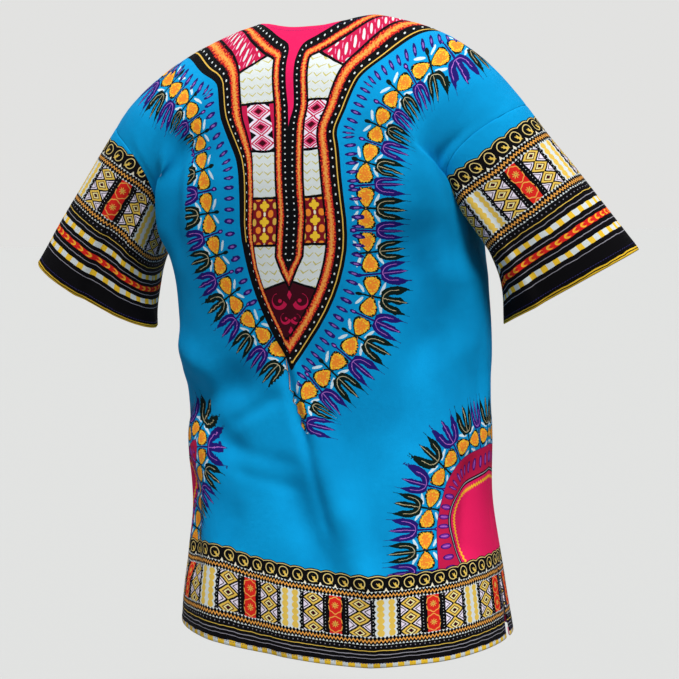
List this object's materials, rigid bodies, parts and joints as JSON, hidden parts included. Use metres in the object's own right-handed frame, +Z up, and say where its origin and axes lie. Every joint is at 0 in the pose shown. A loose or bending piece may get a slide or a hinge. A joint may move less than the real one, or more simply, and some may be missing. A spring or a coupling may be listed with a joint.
{
  "type": "dashiki print t-shirt",
  "caption": "Loose pullover of printed cotton with dropped shoulders, short straight sleeves, an open neck slit and hem slits, held open as if worn.",
  "frame": {"origin": "midway between the shoulders, level with the sides of the neck opening, where the shirt hangs from the wearer's shoulders", "axes": "+Z up, the front faces -Y, the wearer's left sleeve is at +X"},
  "size_m": [0.7999, 0.2846, 0.7735],
  "materials": {
    "body_print": "matt plain-weave cotton, bright blue with a printed neck panel, flower wreath and hem border",
    "sleeve_print": "matt plain-weave cotton printed all over with border bands"
  },
  "bodies": {
    "root": {"back": "body_print", "front": "body_print", "sleeve_left": "sleeve_print", "sleeve_right": "sleeve_print"}
  },
  "joints": []
}
